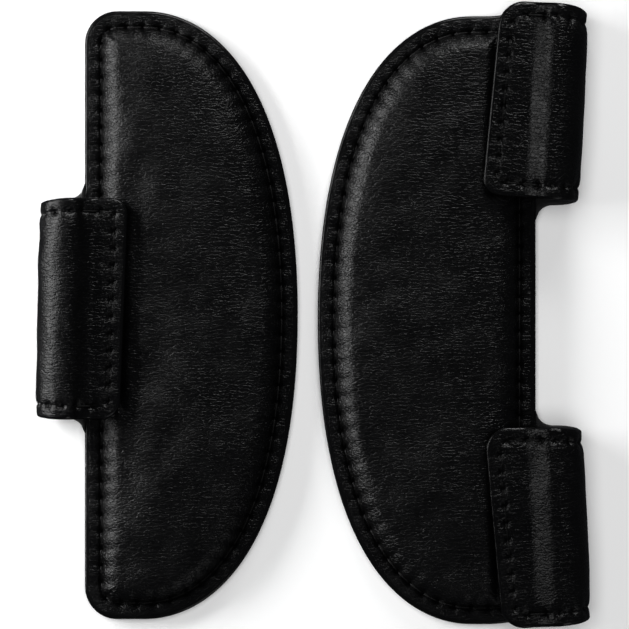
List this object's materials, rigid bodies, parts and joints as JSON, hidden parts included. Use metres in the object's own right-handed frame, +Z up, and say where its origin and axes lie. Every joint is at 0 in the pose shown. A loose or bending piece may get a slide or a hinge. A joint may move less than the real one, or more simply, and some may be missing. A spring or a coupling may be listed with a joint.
{
  "type": "trainer belly pad",
  "caption": "Leather half-moon pads with a soft foam filling and wrap-over tabs that close into loops, so both halves can hang on a common bar.",
  "frame": {"origin": "on the surface the pads lie on, under the middle of the whole layout", "axes": "+Y along the pads, +X from the one-tab half to the two-tab half, +Z up from the backs to the puffed fronts"},
  "size_m": [0.1632, 0.1844, 0.0174],
  "materials": {
    "leather": "fine pebbled grain, semi-matt",
    "lining": "smooth, matt",
    "thread": "twisted bonded thread",
    "foam": "closed-cell foam",
    "tape": "hook and loop tape"
  },
  "bodies": {
    "left_pad": {"left_back_panel": "leather", "left_front_panel": "leather", "left_foam_core": "foam", "left_seam_thread": "thread", "left_loop_patch": "tape"},
    "left_tab": {"left_tab_leather": "leather", "left_tab_lining": "lining", "left_tab_thread": "thread", "left_tab_hook_patch": "tape"},
    "right_pad": {"right_back_panel": "leather", "right_front_panel": "leather", "right_foam_core": "foam", "right_seam_thread": "thread", "right_upper_loop_patch": "tape", "right_lower_loop_patch": "tape"},
    "right_upper_tab": {"right_upper_tab_leather": "leather", "right_upper_tab_lining": "lining", "right_upper_tab_thread": "thread", "right_upper_tab_hook_patch": "tape"},
    "right_lower_tab": {"right_lower_tab_leather": "leather", "right_lower_tab_lining": "lining", "right_lower_tab_thread": "thread", "right_lower_tab_hook_patch": "tape"}
  },
  "joints": [
    {"name": "halves_apart", "type": "slide", "parent": "left_pad", "child": "right_pad", "axis": [1, 0, 0], "range_m": [0, 0.15]},
    {"name": "left_tab_open", "type": "hinge", "parent": "left_pad", "child": "left_tab", "pos_m": [-0.08114, 0.00217, 0.0078], "axis": [-0.0192, -0.9998, 0], "range_deg": [0, 165]},
    {"name": "right_upper_tab_open", "type": "hinge", "parent": "right_pad", "child": "right_upper_tab", "pos_m": [0.07914, 0.06066, 0.0078], "axis": [0.0489, 0.9988, 0], "range_deg": [0, 165]},
    {"name": "right_lower_tab_open", "type": "hinge", "parent": "right_pad", "child": "right_lower_tab", "pos_m": [0.08044, -0.06092, 0.0078], "axis": [-0.0454, 0.999, 0], "range_deg": [0, 165]}
  ]
}
